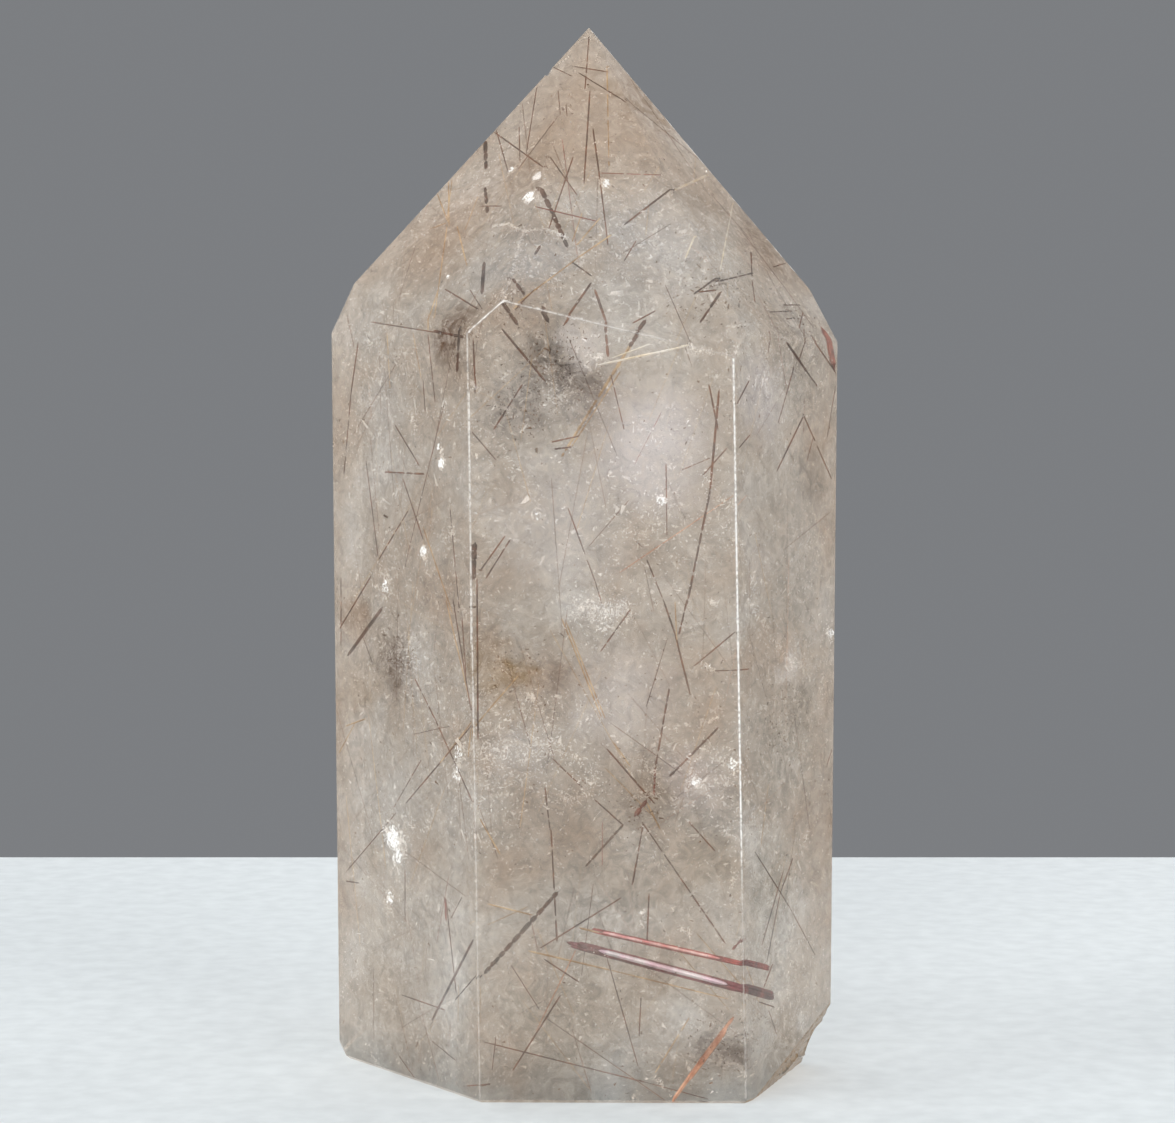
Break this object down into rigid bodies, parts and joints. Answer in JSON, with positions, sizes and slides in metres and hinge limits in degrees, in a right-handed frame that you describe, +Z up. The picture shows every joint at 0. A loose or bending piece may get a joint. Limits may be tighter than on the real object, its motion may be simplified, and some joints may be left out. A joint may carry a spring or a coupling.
{
  "type": "rutilated quartz tower",
  "caption": "Polished six-sided point of hazy rutilated quartz, standing on a flat sawn foot, with fine brown, reddish and golden rutile needles inside.",
  "frame": {"origin": "middle of the outline, on the sawn foot", "axes": "+Z up along the crystal to its point, +X to the right and +Y to the back as seen from the broad front face"},
  "size_m": [0.046, 0.0388, 0.0949],
  "materials": {
    "quartz": "polished, hazy, see-through near the edges"
  },
  "bodies": {
    "root": {"quartz_tower": "quartz"}
  },
  "joints": []
}
